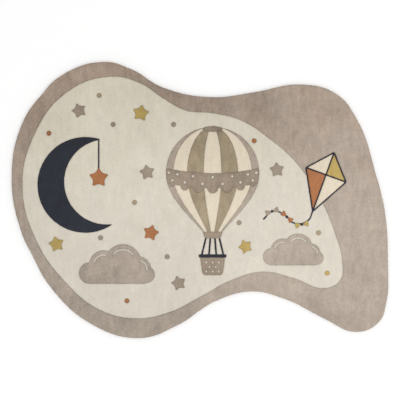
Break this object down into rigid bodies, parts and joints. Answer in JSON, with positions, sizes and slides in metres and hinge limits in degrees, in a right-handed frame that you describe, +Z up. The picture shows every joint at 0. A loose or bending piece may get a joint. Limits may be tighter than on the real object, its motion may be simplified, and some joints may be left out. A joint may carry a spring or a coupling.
{
  "type": "kids rug",
  "caption": "Flat free-form kids rug: one tufted piece with a short cut pile, a rounded lobe, a waist and a narrower toe.",
  "frame": {"origin": "under the middle of the rug's length and width, on the surface that it lies on", "axes": "+X along the rug's length, towards its narrower toe; +Y across it, towards the waisted side; +Z up, out of the pile"},
  "size_m": [1.5, 1.1, 0.012],
  "materials": {
    "pile": "short dense cut pile, matt, softly mottled, cream field with a taupe border"
  },
  "bodies": {
    "root": {"rug": "pile"}
  },
  "joints": []
}
